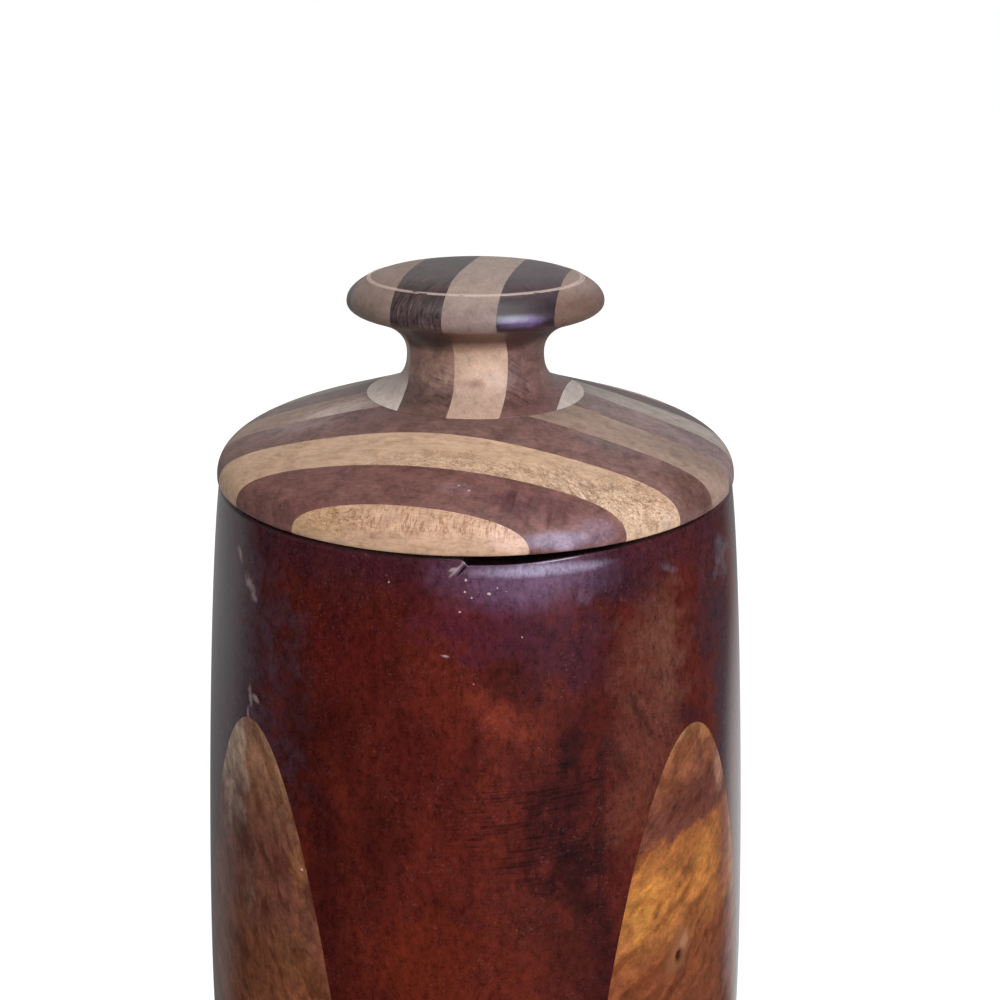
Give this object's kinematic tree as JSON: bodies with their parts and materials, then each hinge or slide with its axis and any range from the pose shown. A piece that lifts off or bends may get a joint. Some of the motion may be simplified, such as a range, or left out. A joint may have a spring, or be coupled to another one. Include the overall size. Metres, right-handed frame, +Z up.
{
  "type": "lidded wooden vase",
  "caption": "Turned wooden vase of two woods, with leaf-shaped side inlays, a striped domed lid that lifts off and a waisted striped knob.",
  "frame": {"origin": "centre of the standing ring, on the surface that the vase stands on", "axes": "+Z up along the turning axis, -Y towards the front as pictured, +X to the right"},
  "size_m": [0.1388, 0.1388, 0.3118],
  "materials": {
    "core_wood": "dark red-brown hardwood under a satin wax polish",
    "plank_wood": "golden brown swirly wood under a satin wax polish",
    "dark_strip_wood": "purple-brown wood, satin",
    "pale_strip_wood": "pale pinkish tan wood with fine dark pores, satin"
  },
  "bodies": {
    "body": {"body_core": "core_wood", "side_plank_front_left": "plank_wood", "side_plank_front_right": "plank_wood", "side_plank_back_right": "plank_wood", "side_plank_back_left": "plank_wood"},
    "lid": {"lid_strip_01": "pale_strip_wood", "lid_strip_02": "dark_strip_wood", "lid_strip_03": "pale_strip_wood", "lid_strip_04": "dark_strip_wood", "lid_strip_05": "pale_strip_wood", "lid_strip_06": "dark_strip_wood", "lid_strip_07": "pale_strip_wood", "lid_strip_08": "dark_strip_wood", "lid_strip_09": "pale_strip_wood", "lid_strip_10": "dark_strip_wood", "lid_strip_11": "pale_strip_wood", "knob_strip_1": "dark_strip_wood", "knob_strip_2": "pale_strip_wood", "knob_strip_3": "dark_strip_wood", "knob_strip_4": "pale_strip_wood", "knob_strip_5": "dark_strip_wood", "knob_strip_6_cap": "pale_strip_wood", "knob_strip_6_foot": "pale_strip_wood"}
  },
  "joints": [
    {"name": "lid_lift", "type": "slide", "parent": "body", "child": "lid", "axis": [0, 0, 1], "range_m": [0, 0.08]}
  ]
}
